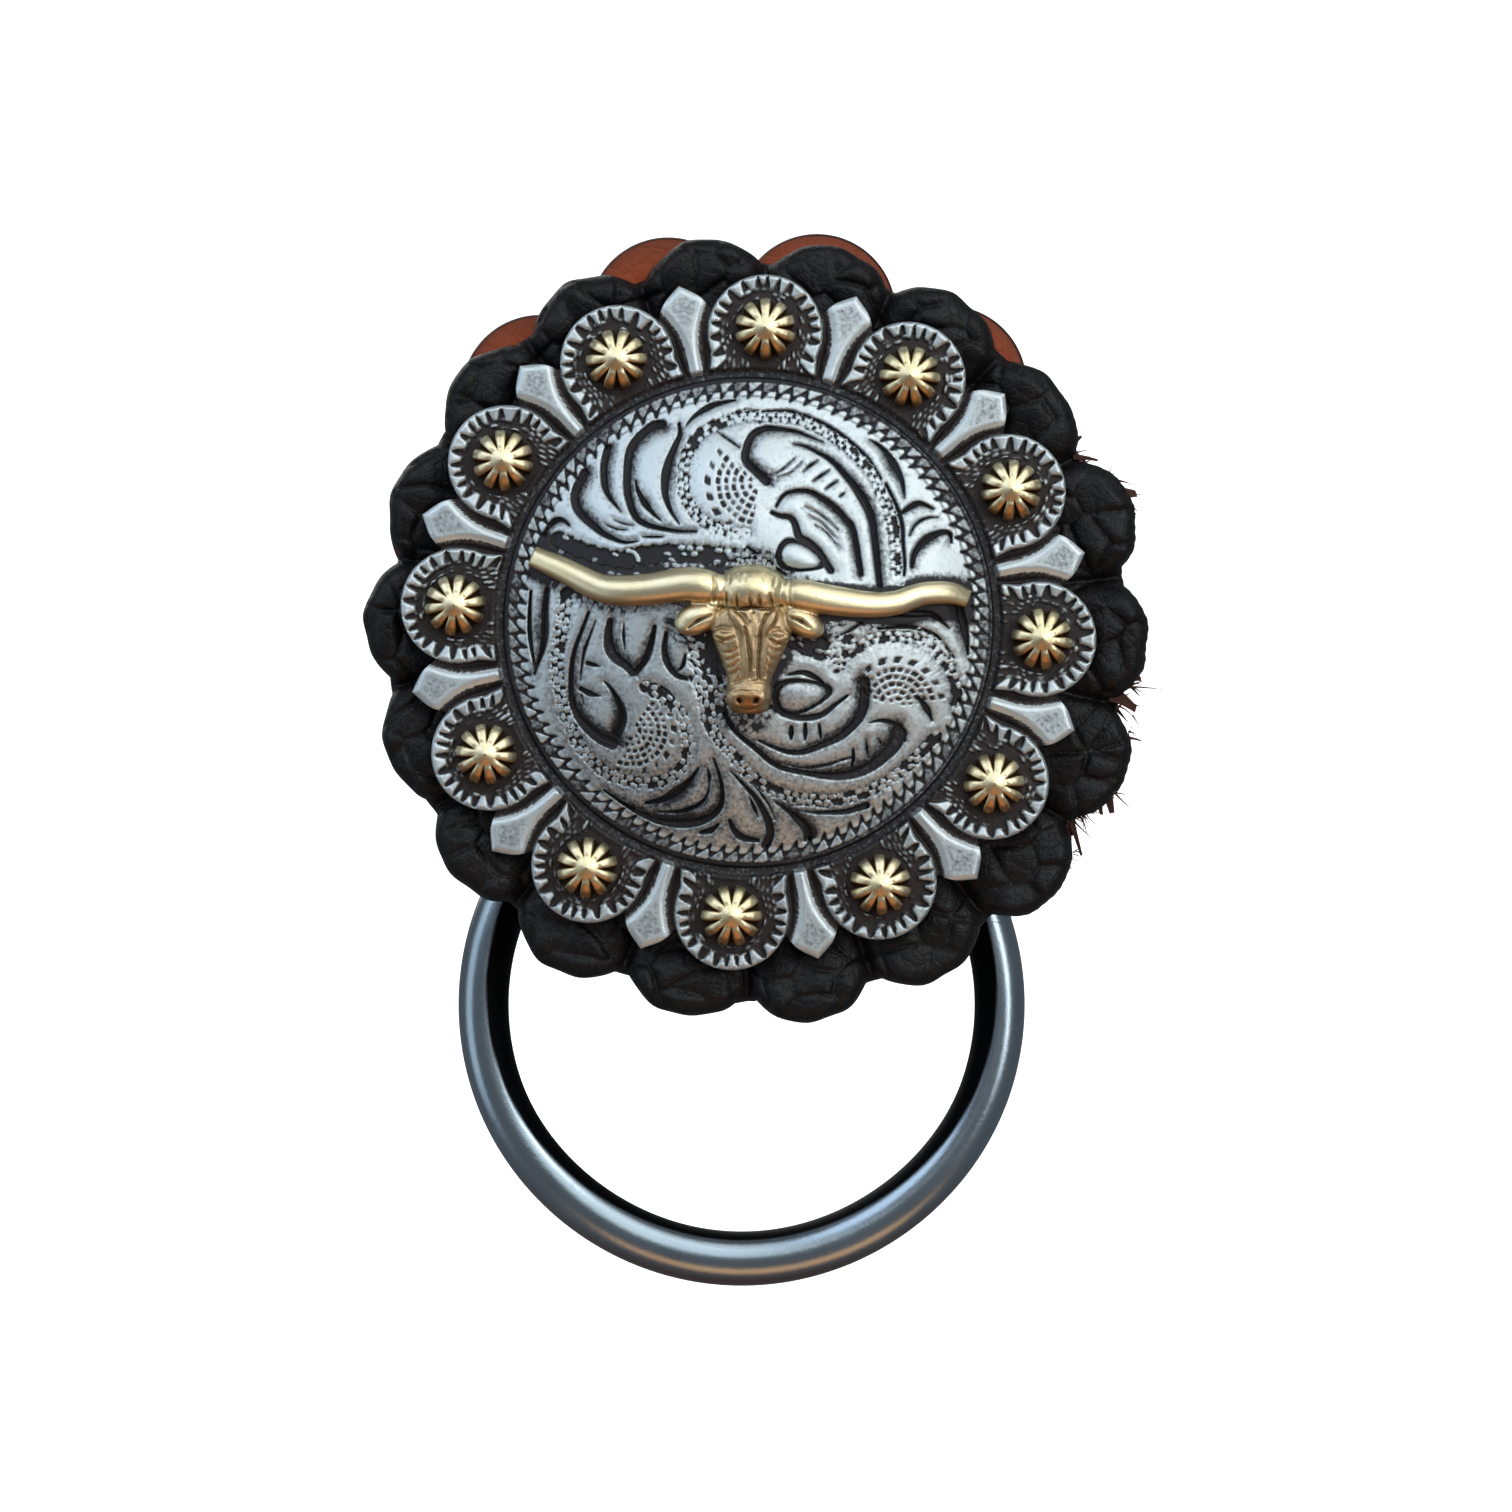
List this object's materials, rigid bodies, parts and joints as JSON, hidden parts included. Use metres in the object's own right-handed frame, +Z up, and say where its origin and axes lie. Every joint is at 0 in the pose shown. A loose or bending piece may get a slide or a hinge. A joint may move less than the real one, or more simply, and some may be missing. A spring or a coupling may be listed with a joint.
{
  "type": "screw-back concho with steer head, leather rosettes and hanging ring",
  "caption": "Round cast berry concho with a domed scroll-engraved middle and a longhorn steer head, on scalloped leather rosettes, with a steel ring hanging behind.",
  "frame": {"origin": "middle of the back face of the screw's head, on the axis of the plate, where the concho is held to what it decorates", "axes": "+Z up along the hanging ring, +Y out of the back, the decorated face looks toward -Y, +X to the right of someone who looks at the face"},
  "size_m": [0.0435, 0.0167, 0.0589],
  "materials": {
    "antique_silver": "antiqued silver plate on cast zinc, dark in the recesses",
    "antique_gold": "antiqued gold plate, brown in the recesses",
    "black_leather": "pebbled, semi-matt",
    "russet_leather": "smooth, waxed",
    "strap_leather": "smooth, matt edges",
    "screw_steel": "nickel plated",
    "ring_steel": "polished, dark in reflection"
  },
  "bodies": {
    "concho": {"concho_plate": "antique_silver", "berry_01": "antique_gold", "berry_02": "antique_gold", "berry_03": "antique_gold", "berry_04": "antique_gold", "berry_05": "antique_gold", "berry_06": "antique_gold", "berry_07": "antique_gold", "berry_08": "antique_gold", "berry_09": "antique_gold", "berry_10": "antique_gold", "berry_11": "antique_gold", "berry_12": "antique_gold", "steer_head": "antique_gold", "black_rosette": "black_leather", "tan_rosette": "russet_leather", "ring_strap": "strap_leather", "back_screw": "screw_steel"},
    "ring": {"ring": "ring_steel"}
  },
  "joints": [
    {"name": "ring_swing", "type": "hinge", "parent": "concho", "child": "ring", "pos_m": [0, -0.00066, -0.00677], "axis": [1, 0, 0], "range_deg": [-8, 170]}
  ]
}
